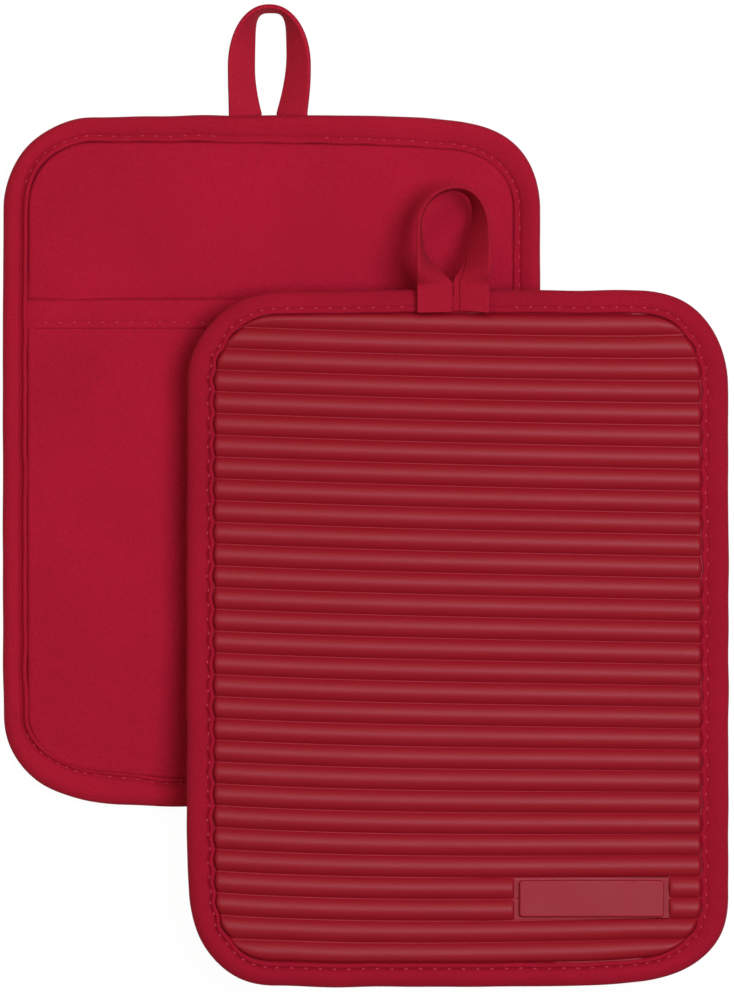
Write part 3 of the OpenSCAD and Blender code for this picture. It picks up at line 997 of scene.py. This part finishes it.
def ripples(height, most):
    """The small ripples as a function of place: the swell is out, and the rest is capped."""
    x, y, across, ys = settling_grid()
    flat = np.stack([x, y, height(x, y)], -1).reshape(-1, 3)
    field = settle(flat, x.shape, (inset_of(x, y) < HELD + 0.5 * MM).ravel())
    small = blurred(field, FINE_BLUR) - blurred(field, WIDE_BLUR)
    usual = np.percentile(np.abs(small), 95) or 1.0
    small = np.clip(small / usual, -MOST_RIPPLE, MOST_RIPPLE) * most

    def lift(px, py):
        column = np.clip((px / half_width_at(py, TRIM_IN) + 1) / 2, 0, 1) * (len(across) - 1.001)
        row = np.clip((py - ys[0]) / (ys[1] - ys[0]), 0, len(ys) - 1.001)
        i, j = row.astype(int), column.astype(int)
        v, u = row - i, column - j
        low = small[i, j] * (1 - u) + small[i, j + 1] * u
        high = small[i + 1, j] * (1 - u) + small[i + 1, j + 1] * u
        return (low * (1 - v) + high * v) * smooth((inset_of(px, py) - HELD) / HELD_RUN)

    return lift


print("ripples fade out within", round(HELD / MM, 1), "mm of the edge")

# %% [markdown]
# ### A sheet whose rings follow the outline
#
# Next to the binding the cloth comes up steeply, so its mesh must be fine there and may be coarse
# in the middle. Rows and columns are therefore packed towards the border. They could simply be cut
# off at the corners, but then the fine rows would not run along the edge. So the rings of the
# grid are bent round the corners instead, each at its own distance inside the edge.

# %% Points of a sheet, in rings that follow the outline
NEAR_EDGE = np.array([3.46, 5.6, 7.0, 7.7, 8.0, 8.3, 8.6, 8.9, 9.2, 9.5,
                      9.8, 10.1, 10.5, 11.0, 11.6, 12.4, 13.5, 15.0, 17.0, 19.5]) * MM
RING_CELL = 2.6 * MM
SHARP = 1e-6


def ring_axis(half):
    """Places along one axis, from edge to edge: close together near both ends."""
    start = -half + NEAR_EDGE
    free = half - NEAR_EDGE[-1]
    middle = np.linspace(-free, free, int(2 * free / RING_CELL))[1:-1]
    return np.concatenate([start, middle, -start[::-1]])


def ring_sheet():
    """x and y of every point of the sheet."""
    wide, tall = np.meshgrid(ring_axis(BASE_X), ring_axis(BASE_Y))
    inside = np.minimum(BASE_X - np.abs(wide), BASE_Y - np.abs(tall))
    half_x, half_y = BASE_X - inside, BASE_Y - inside
    radius = np.maximum(CORNER_R - inside, SHARP)
    upright = BASE_X - np.abs(wide) <= BASE_Y - np.abs(tall)
    along, half = np.where(upright, tall, wide), np.where(upright, half_y, half_x)
    other, limit = np.where(upright, wide, tall), np.where(upright, half_x, half_y)
    run = along / np.maximum(half, TINY) * (half - radius + radius * math.pi / 4)
    straight = half - radius
    turn = np.maximum(np.abs(run) - straight, 0) / radius
    along = np.sign(run) * (np.minimum(np.abs(run), straight) + radius * np.sin(turn))
    other = np.sign(other) * (limit - radius + radius * np.cos(turn))
    x, y = np.where(upright, other, along), np.where(upright, along, other)
    bowed = bow(np.stack([x.ravel(), y.ravel()], -1))
    return bowed[:, 0].reshape(x.shape), bowed[:, 1].reshape(x.shape)


print("points of a sheet:", ring_sheet()[0].size)

# %% How high the cloth lies
MOUTH_Y = 53.7 * MM
BACK_Z, LOFT, LOFT_RUN = 1.04 * MM, 2.8 * MM, 17 * MM
BACK_STEP, OPEN_STEP = 0.3, 1.2
DIP, DIP_RUN = 0.3 * MM, 1.9 * MM
RISE, RISE_RUN = 0.8 * MM, 2.8 * MM
POCKET_Z, POCKET_FALL, POCKET_RUN = 0.12 * MM, 7.4 * MM, 62 * MM
POCKET_STEP, SHUT_RUN, SHUT = 1.3 * MM, 44 * MM, 0.52


def beside_binding(x, y, most):
    """How far the cloth comes up just past the binding's free edge: a quarter round."""
    t = np.clip((inset_of(x, y) - back_width(x, y) + 0.1 * MM) / (1.5 * MM), 0, 1)
    return most * np.sqrt(1 - (1 - t) ** 2)


def back_height(x, y):
    """Outer face of the cloth back: padded, and with a shallow dip under the pocket's mouth."""
    t = np.clip((inset_of(x, y) - HELD) / LOFT_RUN, 0, 1)
    above_pocket = smooth((y - MOUTH_Y - 1 * MM) / (10 * MM))
    step = (BACK_STEP + OPEN_STEP * above_pocket) * MM
    dip = DIP * np.exp(-((y - MOUTH_Y) / DIP_RUN) ** 2) * t
    rise = RISE * smooth((y - MOUTH_Y - 0.3 * MM) / RISE_RUN) * t
    swell = (LOFT - step) * (1 - np.cos(math.pi * t)) / 2
    return BACK_Z + dip - rise - beside_binding(x, y, step) - swell


def pocket_height(x, y):
    """Outer face of the pocket: it bulges in the middle, and its mouth lies nearly shut."""
    t = np.clip((inset_of(x, y) - HELD) / POCKET_RUN, 0, 1)
    shut = 1 - smooth((MOUTH_Y - y) / SHUT_RUN)
    bulge = (POCKET_FALL - POCKET_STEP) * np.sin(math.pi / 2 * t) ** 1.25
    return POCKET_Z - beside_binding(x, y, POCKET_STEP) - bulge * (1 - SHUT * shut)


at_mouth = (np.zeros(1), np.array([MOUTH_Y]))
gap = (back_height(*at_mouth) - pocket_height(*at_mouth))[0]
print("from face to face at the mouth:", round(gap / MM, 1), "mm")

# %% Lay the back and the pocket
CLOTH_T = 0.8 * MM
CUT_BELOW = 0.8 * MM
BACK_RIPPLE, POCKET_RIPPLE = 0.16 * MM, 0.2 * MM


def cut_at_mouth(sheet, holder):
    """Cuts the sheet straight across below its hem's fold, and takes the upper part away."""
    cut_y = holder.y + MOUTH_Y - CUT_BELOW
    select_only(sheet)
    bpy.ops.object.mode_set(mode="EDIT")
    bpy.ops.mesh.select_all(action="SELECT")
    bpy.ops.mesh.bisect(plane_co=(0, cut_y, 0), plane_no=(0, 1, 0), clear_outer=True)
    bpy.ops.object.mode_set(mode="OBJECT")


def lay_sheet(name, holder, height, lift):
    x, y = ring_sheet()
    points = np.stack([x, y, height(x, y) - lift(x, y)], -1)
    sheet = mesh_from(name, holder.place(points), quads(*x.shape))
    if height is pocket_height:
        cut_at_mouth(sheet, holder)
    face_outwards(sheet, 60)
    toward_silicone = sheet.data.polygons[len(sheet.data.polygons) // 2].normal.z * holder.up > 0
    apply(sheet, "SOLIDIFY", thickness=CLOTH_T, offset=1 if toward_silicone else -1)
    face_outwards(sheet, 60)
    sheet.data.materials.append(PANEL_TWILL)
    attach(sheet, holder.body)
    return sheet


pockets, pocket_lift = {}, {}
for number, holder in enumerate(HOLDERS):
    back_lift = ripples(back_height, BACK_RIPPLE)
    back = lay_sheet(holder.name + "_back", holder, back_height, back_lift)
    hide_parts(holder.name + "_back_panel")
    lift = pocket_lift[holder.name] = ripples(pocket_height, POCKET_RIPPLE)
    pocket = pockets[holder.name] = lay_sheet(holder.name + "_pocket", holder, pocket_height, lift)
    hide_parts(holder.name + "_pocket_panel")
    for sheet in (back, pocket):
        print(sheet.name, len(sheet.data.polygons), "faces")

# %% [markdown]
# ### The hem of the pocket's mouth
#
# The cut edge of the pocket is closed in a folded band. It lies on the outside, turns over the
# mouth and ends inside, and a row of stitches holds it near its lower edge. Like the binding
# it is one cross-section repeated along a line, here from side to side.

# %% Fold the hem over the mouth
HEM_W, HEM_STITCH_UP = 10 * MM, 1.9 * MM
HEM_SHORT, HEM_END, HEM_STEPS = 3 * MM, 5 * MM, 69


def hem_section():
    """(height across the band, distance out from the pocket's face), in mm, round the band."""
    low, high = (MOUTH_Y - HEM_W) / MM, MOUTH_Y / MM
    seam = low + HEM_STITCH_UP / MM
    lower_edge = [(low + 0.05, 0.0), (low + 0.02, 0.2), (low + 0.15, 0.4), (low + 0.5, 0.5)]
    groove = [(seam - 0.5, 0.52), (seam - 0.2, 0.42), (seam, 0.38), (seam + 0.2, 0.42),
              (seam + 0.5, 0.56)]
    outside = [(low + 5, 0.7), (high - 1.7, 0.7), (high - 1.05, 0.6), (high - 0.7, 0.32),
               (high - 0.42, -0.2)]
    fold = [(high - 0.15, -0.8), (high, -1.3), (high - 0.15, -1.6), (high - 0.6, -1.75),
            (high - 1.3, -1.75)]
    inside = [(low + 0.8, -1.75), (low + 0.8, -1.2), (high - 1.3, -1.2), (high - 0.9, -0.6),
              (high - 1.3, 0.0)]
    return lower_edge + groove + outside + fold + inside


def pocket_face(holder, x, y):
    """Outer face of the pocket at a place, in the holder's frame."""
    return pocket_height(x, y) - pocket_lift[holder.name](x, y)


def fold_hem(holder):
    section = np.array(hem_section()) * MM
    reach = float(half_width_at(MOUTH_Y, TRIM_IN)) - HEM_SHORT
    inner = np.linspace(-reach + HEM_END, reach - HEM_END, HEM_STEPS)
    sides = np.concatenate([[-reach], inner, [reach]])
    x = np.repeat(sides[:, None], len(section), axis=1)
    y = np.repeat(section[None, :, 0], len(sides), axis=0)
    out = np.repeat(section[None, :, 1], len(sides), axis=0)
    points = np.stack([x, y, pocket_face(holder, x, y) - out], -1)
    faces = quads(len(sides), len(section), False, True)
    band = mesh_from(holder.name + "_hem", holder.place(points), faces)
    write_uv(band, [(a, b + c) for a, b, c in zip(x.ravel(), y.ravel(), out.ravel())])
    close_rims(band)
    face_outwards(band, 50)
    band.data.materials.append(PANEL_TWILL)
    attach(band, holder.body)
    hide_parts(holder.name + "_pocket_hem")
    return band


for holder in HOLDERS:
    band = fold_hem(holder)
    print(band.name, "over", pockets[holder.name].name, len(band.data.polygons), "faces")

# %% [markdown]
# ## Stitches
#
# A lockstitch on thick goods shows as a row of short bright ends, with the rest of the thread
# drawn down into the cloth. One stitch is a small ball stretched along the seam. It is made once
# with a primitive, and its points are copied to each place, so every row is one mesh.

# %% Model one stitch, and copy it along a row


def one_stitch():
    bpy.ops.object.select_all(action="DESELECT")
    bpy.ops.mesh.primitive_uv_sphere_add(segments=8, ring_count=6, radius=0.5)
    ball = bpy.context.active_object
    points = np.array([v.co for v in ball.data.vertices])
    faces = [tuple(p.vertices) for p in ball.data.polygons]
    bpy.data.objects.remove(ball)
    return points, faces


STITCH_POINTS, STITCH_FACES = one_stitch()


def stitch_row(name, holder, places, size):
    """One mesh of stitches. Each place is (point, direction) in the holder's frame."""
    points, faces = [], []
    for at, along in places:
        a = np.array(along, float) / np.linalg.norm(along)
        side = np.cross((0, 0, 1), a)
        axes = np.stack([a * size[0], side * size[1], np.array((0, 0, 1)) * size[2]])
        start = len(points) * len(STITCH_POINTS)
        points.append(STITCH_POINTS @ axes + np.array(at))
        faces += [tuple(start + i for i in f) for f in STITCH_FACES]
    row = mesh_from(name, holder.place(np.concatenate(points)), faces)
    face_outwards(row, 80)
    row.data.materials.append(THREAD)
    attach(row, holder.body)
    return row


print("points of a stitch:", len(STITCH_POINTS))

# %% Sew both seams of each holder
BINDING_STITCH = (1.25 * MM, 0.55 * MM, 0.4 * MM)
HEM_STITCH = (1.1 * MM, 0.55 * MM, 0.4 * MM)
HEM_ROW, HEM_STANDS = 76 * MM, 0.5 * MM
TABS_REACH = 15 * MM
DRAWN_X, DRAWN_Y = 70 * MM, 90 * MM


def shows(place):
    """The loop's tabs hide some, and on one long side of the back the thread is drawn right in."""
    x, y, z = place
    under_tabs = y > 0.9 * BASE_Y and abs(x) < TABS_REACH
    return not under_tabs and not (z < 0 and x > DRAWN_X and abs(y) < DRAWN_Y)


for holder in HOLDERS:
    seam = [(at, along) for at, along in stitch_places[holder.name] if shows(at)]
    stitch_row(holder.name + "_binding_stitches", holder, seam, BINDING_STITCH)
    x = np.arange(-HEM_ROW, HEM_ROW, STITCH_STEP)
    y = np.full(len(x), MOUTH_Y - HEM_W + HEM_STITCH_UP)
    z = pocket_face(holder, x, y) - HEM_STANDS
    row = [(at, (1, 0, 0)) for at in zip(x, y, z)]
    stitch_row(holder.name + "_hem_stitches", holder, row, HEM_STITCH)
    print(holder.name, "binding and hem:", len(seam), "and", len(row), "stitches")

# %% [markdown]
# ## The hanging loops
#
# Each loop is one length of folded tape. It lies flat where it is sewn down, and turns on its
# edge as it comes round, because a tape bends easily only across its flat. Seen from above its
# width therefore shrinks as it turns. So the loop is described by its two edges in plan, the outer
# one, which stands up, and the inner one, which borders the eye. The angle of the tape
# follows from the distance between them. The lower loop is open and upright. The upper one has
# been pressed together, sags towards the holder below it, most of all on one side, and shows a
# second ply on that leg.

# %% One edge of a loop
LEG_POINTS, TOP_POINTS = 60, 90


def length_along(path):
    """How much of a path has passed at each of its points."""
    return np.concatenate([[0], np.cumsum(np.hypot(*np.diff(path, axis=0).T))])


class LoopEdge:
    """One edge of a loop in plan: two legs that widen to their full spread, and a rounded top."""

    def __init__(self, feet, spread, widen, shoulder, height, lean, square):
        self.feet, self.spread, self.widen = feet, spread, widen
        self.shoulder, self.height, self.lean, self.square = shoulder, height, lean, square

    def leg(self, side, h):
        """x of a leg at some height."""
        foot, full = self.feet[side], self.spread[side]
        return foot + (full - foot) * math.sin(math.pi / 2 * min(max(h, 0) / self.widen[side], 1))

    def walk(self, count):
        """count points from the left foot over the top to the right foot, evenly spaced, in mm."""
        path = []
        for side in (0, 1):
            heights = np.linspace(0, self.shoulder, LEG_POINTS, endpoint=False)
            leg = [(self.leg(side, h), h) for h in heights]
            phi = np.linspace(0, math.pi / 2, TOP_POINTS)
            reach = self.leg(side, self.shoulder) - self.lean
            x = self.lean + reach * np.cos(phi) ** (2 / self.square)
            h = self.shoulder + (self.height - self.shoulder) * np.sin(phi) ** (2 / self.square)
            half = leg + list(zip(x, h))
            path += half if side == 0 else half[-2::-1]
        path = np.array(path)
        gone = length_along(path)
        top, half = gone[LEG_POINTS + TOP_POINTS - 1], count // 2 + 1
        wanted = np.concatenate([np.linspace(0, top, half), np.linspace(top, gone[-1], half)[1:]])
        return np.stack([np.interp(wanted, gone, axis) for axis in path.T], -1)


# All in mm: feet, spread and widen are for the left leg and the right one.
OUTER_EDGE = {
    "lower": LoopEdge((-13.2, 13.3), (-13.5, 14.4), (15, 14), 15, 35.4, 0.4, 2.1),
    "upper": LoopEdge((-12.0, 12.0), (-12.2, 12.8), (10, 14), 17.8, 33.5, 1.5, 2.15),
}
EYE = LoopEdge((-1.8, 2.3), (-3.8, 5.6), (15, 20), 24.5, 32.8, 0.9, 3.6)
for name, edge in OUTER_EDGE.items():
    print(name, "loop rises", edge.height, "mm over the fold of the binding")

# %% The edge that borders the eye
STEPS = 160
# The pressed loop has no clear eye, so here is how wide its tape looks along its way, in mm.
LOOKS = [(0, 12.2), (0.018, 12.1), (0.036, 10.5), (0.064, 8.7), (0.095, 6.0), (0.15, 3.2),
         (0.25, 1.9), (0.35, 1.6), (0.5, 1.8), (0.58, 3.2), (0.66, 5.4), (0.72, 6.8), (0.79, 8.0),
         (0.86, 8.9), (0.913, 9.7), (0.94, 10.5), (0.965, 11.5), (0.982, 12.1), (1, 12.2)]


def inner_edge(name, outer):
    """The edge that borders the eye, point by point beside the outer one, in mm."""
    if name == "lower":
        return EYE.walk(STEPS)
    gone = length_along(outer)
    width = np.interp(gone / gone[-1], *np.array(LOOKS).T)
    width = np.convolve(np.pad(width, 2, mode="edge"), np.ones(5) / 5, mode="valid")
    along = np.gradient(outer, axis=0)
    along /= np.linalg.norm(along, axis=1)[:, None]
    return outer + np.stack([along[:, 1], -along[:, 0]], -1) * width[:, None]


print("points on each edge:", len(EYE.walk(STEPS)))

# %% The section of the folded tape
TAPE_W = {"lower": 11.5 * MM, "upper": 12.2 * MM}
THICK = {"lower": 1.5 * MM, "upper": 1.3 * MM}


def tape_section(step, thick, w):
    """Points round the folded tape: (inwards from the outer edge, up from its lower face)."""
    t = thick
    rim = [(0.0, 0.5 * t), (0.05 * MM, 0.75 * t), (0.2 * MM, 0.93 * t), (0.5 * MM, t)]
    top = [(1.5 * MM, t * 0.97), (w * 0.35, t), (w - step - 0.5 * MM, t)]
    ledge = [(w - step - 0.12 * MM, t * 0.94), (w - step, t * 0.78), (w - step + 0.06 * MM, t * 0.55),
             (w - step * 0.5, t * 0.56), (w - 0.15 * MM, t * 0.52), (w, t * 0.3)]
    under = [(w - 0.12 * MM, 0.1 * t), (w - 0.5 * MM, 0), (w * 0.5, 0), (0.5 * MM, 0)]
    return rim + top + ledge + under + [(0.2 * MM, 0.07 * t), (0.05 * MM, 0.25 * t)]


def tape_angle(width, thick, w):
    """The turn of a tape, in radians, at which it looks so wide from above."""
    whole, corner = math.hypot(w, thick), math.atan2(thick, w)
    return corner + math.acos(min(width / whole, math.cos(corner)))


for name in TAPE_W:
    turned = math.degrees(tape_angle(2 * MM, THICK[name], TAPE_W[name]))
    print(name, "tape looks 2 mm wide at", round(turned), "degrees")

# %% Draw the folded tape between its two edges
SHIFT = {"lower": -1.2 * MM, "upper": -1.5 * MM}
# The second ply shows beyond the first by the ledge, and on one leg by a step of its own. That
# step, and the droop, come in from some share of the loop's way (AT) and over another (OVER).
LEDGE = 0.5 * MM
PLY_STEP, PLY_AT, PLY_OVER = {"lower": LEDGE, "upper": 2.2 * MM}, 0.76, 0.16
SAG, SAG_RUN = {"lower": 0.0, "upper": 12 * MM}, 27 * MM
DROOP, DROOP_AT, DROOP_OVER = {"lower": 0.0, "upper": 3 * MM}, 0.42, 0.2
ROOT_IN = 0.55 * MM
TAB_STEPS = 8


def with_tabs(points, tab):
    """The edge of a loop with its sewn-down ends added, which run down over the binding."""
    before = [[0, tab * (1 - k / TAB_STEPS)] for k in range(TAB_STEPS)]
    after = [[0, tab * (k + 1) / TAB_STEPS] for k in range(TAB_STEPS)]
    return np.concatenate([points[:1] - before, points, points[-1:] - after])


def tape_points(name, outer, inner, root):
    """Every point of the tape, and its place on the cloth."""
    thick, wide = THICK[name], TAPE_W[name]
    points, maps, length = [], [], 0.0
    for k, (edge, eye) in enumerate(zip(outer, inner)):
        share, across = k / len(outer), eye - edge
        angle = tape_angle(float(np.hypot(*across)), thick, wide)
        flat = np.array([*across / np.hypot(*across), 0])
        inwards = flat * math.cos(angle) + np.array([0, 0, -1.0]) * math.sin(angle)
        up = np.array([0, 0, 1.0]) * math.cos(angle) + flat * math.sin(angle)
        sag = SAG[name] + DROOP[name] * float(smooth((share - DROOP_AT) / DROOP_OVER))
        rim = wide * math.sin(angle) - sag * float(smooth(edge[1] / SAG_RUN))
        if k:
            length += float(np.hypot(*(edge - outer[k - 1])))
        step = LEDGE + (PLY_STEP[name] - LEDGE) * float(smooth((share - PLY_AT) / PLY_OVER))
        for a, b in tape_section(step, thick, wide):
            points.append(np.array([*edge, rim]) + root + inwards * a + up * b)
            maps.append((length, a if b >= thick / 2 else 2 * wide - a))
    return points, maps


def hanging_loop(holder):
    name = holder.name
    low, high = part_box(name + "_hanging_loop")
    middle, fold_y, foot_z = (low.x + high.x) / 2 + SHIFT[name], low.y + ROOT_IN, low.z
    tab = fold_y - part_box(name + "_loop_tabs")[0].y
    outer = OUTER_EDGE[name].walk(STEPS)
    inner = with_tabs(inner_edge(name, outer) * MM, tab)
    outer = with_tabs(outer * MM, tab)
    points, maps = tape_points(name, outer, inner, np.array([middle, fold_y, foot_z]))
    faces = quads(len(outer), len(points) // len(outer), False, True)
    tape = mesh_from(name + "_loop_tape", points, faces)
    write_uv(tape, maps)
    close_rims(tape)
    face_outwards(tape, 50)
    tape.data.materials.append(TAPE_TWILL[holder.name])
    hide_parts(name + "_hanging_loop", name + "_loop_tabs")
    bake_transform(tape)
    return tape


for holder in HOLDERS:
    tape = hanging_loop(holder)
    print(tape.name, len(tape.data.polygons), "faces")

for holder in HOLDERS:
    pocket = pockets[holder.name]

# %% [markdown]
# ## Floor and light
#
# The floor is a large plain sheet. The camera sees it as white paper, and it still takes a weak
# shadow, because a little of its ordinary surface is mixed in. The main light is a soft box high to
# the right: it puts the broad gleam on the silicone and the narrow shadow beside the upper holder.
# A weaker one behind the loops shades one flank of each rib, a third lifts the left, and the sky
# fills in. The main light is a trace bluer than the rest, so that a shadow on red cloth stays warm.

# %% The floor and the sky
FLOOR_AT = (0, 0, -0.4 * MM)
PAPER_GLOW, PAPER_SHARE = 1.03, 0.94
SKY, SKY_STRENGTH = (1, 1, 0.55, 1), 0.23

bpy.ops.object.select_all(action="DESELECT")
bpy.ops.mesh.primitive_plane_add(size=6, location=FLOOR_AT)
floor = bpy.context.active_object
floor.name = "floor"
g = new_material("white_paper")
matt = g.node("ShaderNodeBsdfDiffuse", {}, {"Color": (0.8, 0.8, 0.8, 1)})
glow = g.node("ShaderNodeEmission", {}, {"Color": (1, 1, 1, 1), "Strength": PAPER_GLOW})
from_camera, glossy, through = (g.node("ShaderNodeLightPath", {}, {}, "Is " + kind + " Ray")
                                for kind in ("Camera", "Glossy", "Transmission"))
seen = (from_camera + glossy + through).clipped()
paper = g.node("ShaderNodeMixShader", {}, {0: seen * PAPER_SHARE, 1: matt, 2: glow})
g.node("ShaderNodeOutputMaterial", {}, {"Surface": paper})
floor.data.materials.append(g.owner)

g = Graph(bpy.data.worlds.new("sky"))
bpy.context.scene.world = g.owner
soft = g.node("ShaderNodeBackground", {}, {"Color": SKY, "Strength": SKY_STRENGTH})
white = g.node("ShaderNodeBackground", {}, {"Strength": 1.0})
from_camera = g.node("ShaderNodeLightPath", {}, {}, "Is Camera Ray")
pick = g.node("ShaderNodeMixShader", {}, {0: from_camera, 1: soft, 2: white})
g.node("ShaderNodeOutputWorld", {}, {"Surface": pick})
print("floor and sky are set")

# %% The three soft boxes


def soft_box(name, azimuth, elevation, distance, size, power, tint):
    """A square lamp that faces the origin, from a compass angle (0 is +X) and a height angle."""
    lamp = bpy.data.lights.new(name, "AREA")
    lamp.shape, lamp.size, lamp.energy, lamp.color = "SQUARE", size, power, tint
    obj = bpy.data.objects.new(name, lamp)
    bpy.context.scene.collection.objects.link(obj)
    a, e = math.radians(azimuth), math.radians(elevation)
    toward = Vector((math.cos(e) * math.cos(a), math.cos(e) * math.sin(a), math.sin(e)))
    obj.location = toward * distance
    obj.rotation_euler = obj.location.to_track_quat("Z", "Y").to_euler()
    obj.visible_camera = False
    print(name, power, "W from", azimuth, "degrees,", elevation, "degrees up")


soft_box("side_box", 16, 71, 1.5, 0.62, 15.3, (1, 1, 1.2))
soft_box("back_box", 100, 56, 2.2, 0.9, 6.8, (1, 1, 0.75))
soft_box("fill_box", 186, 42, 1.0, 0.6, 0.9, (1, 1, 0.75))
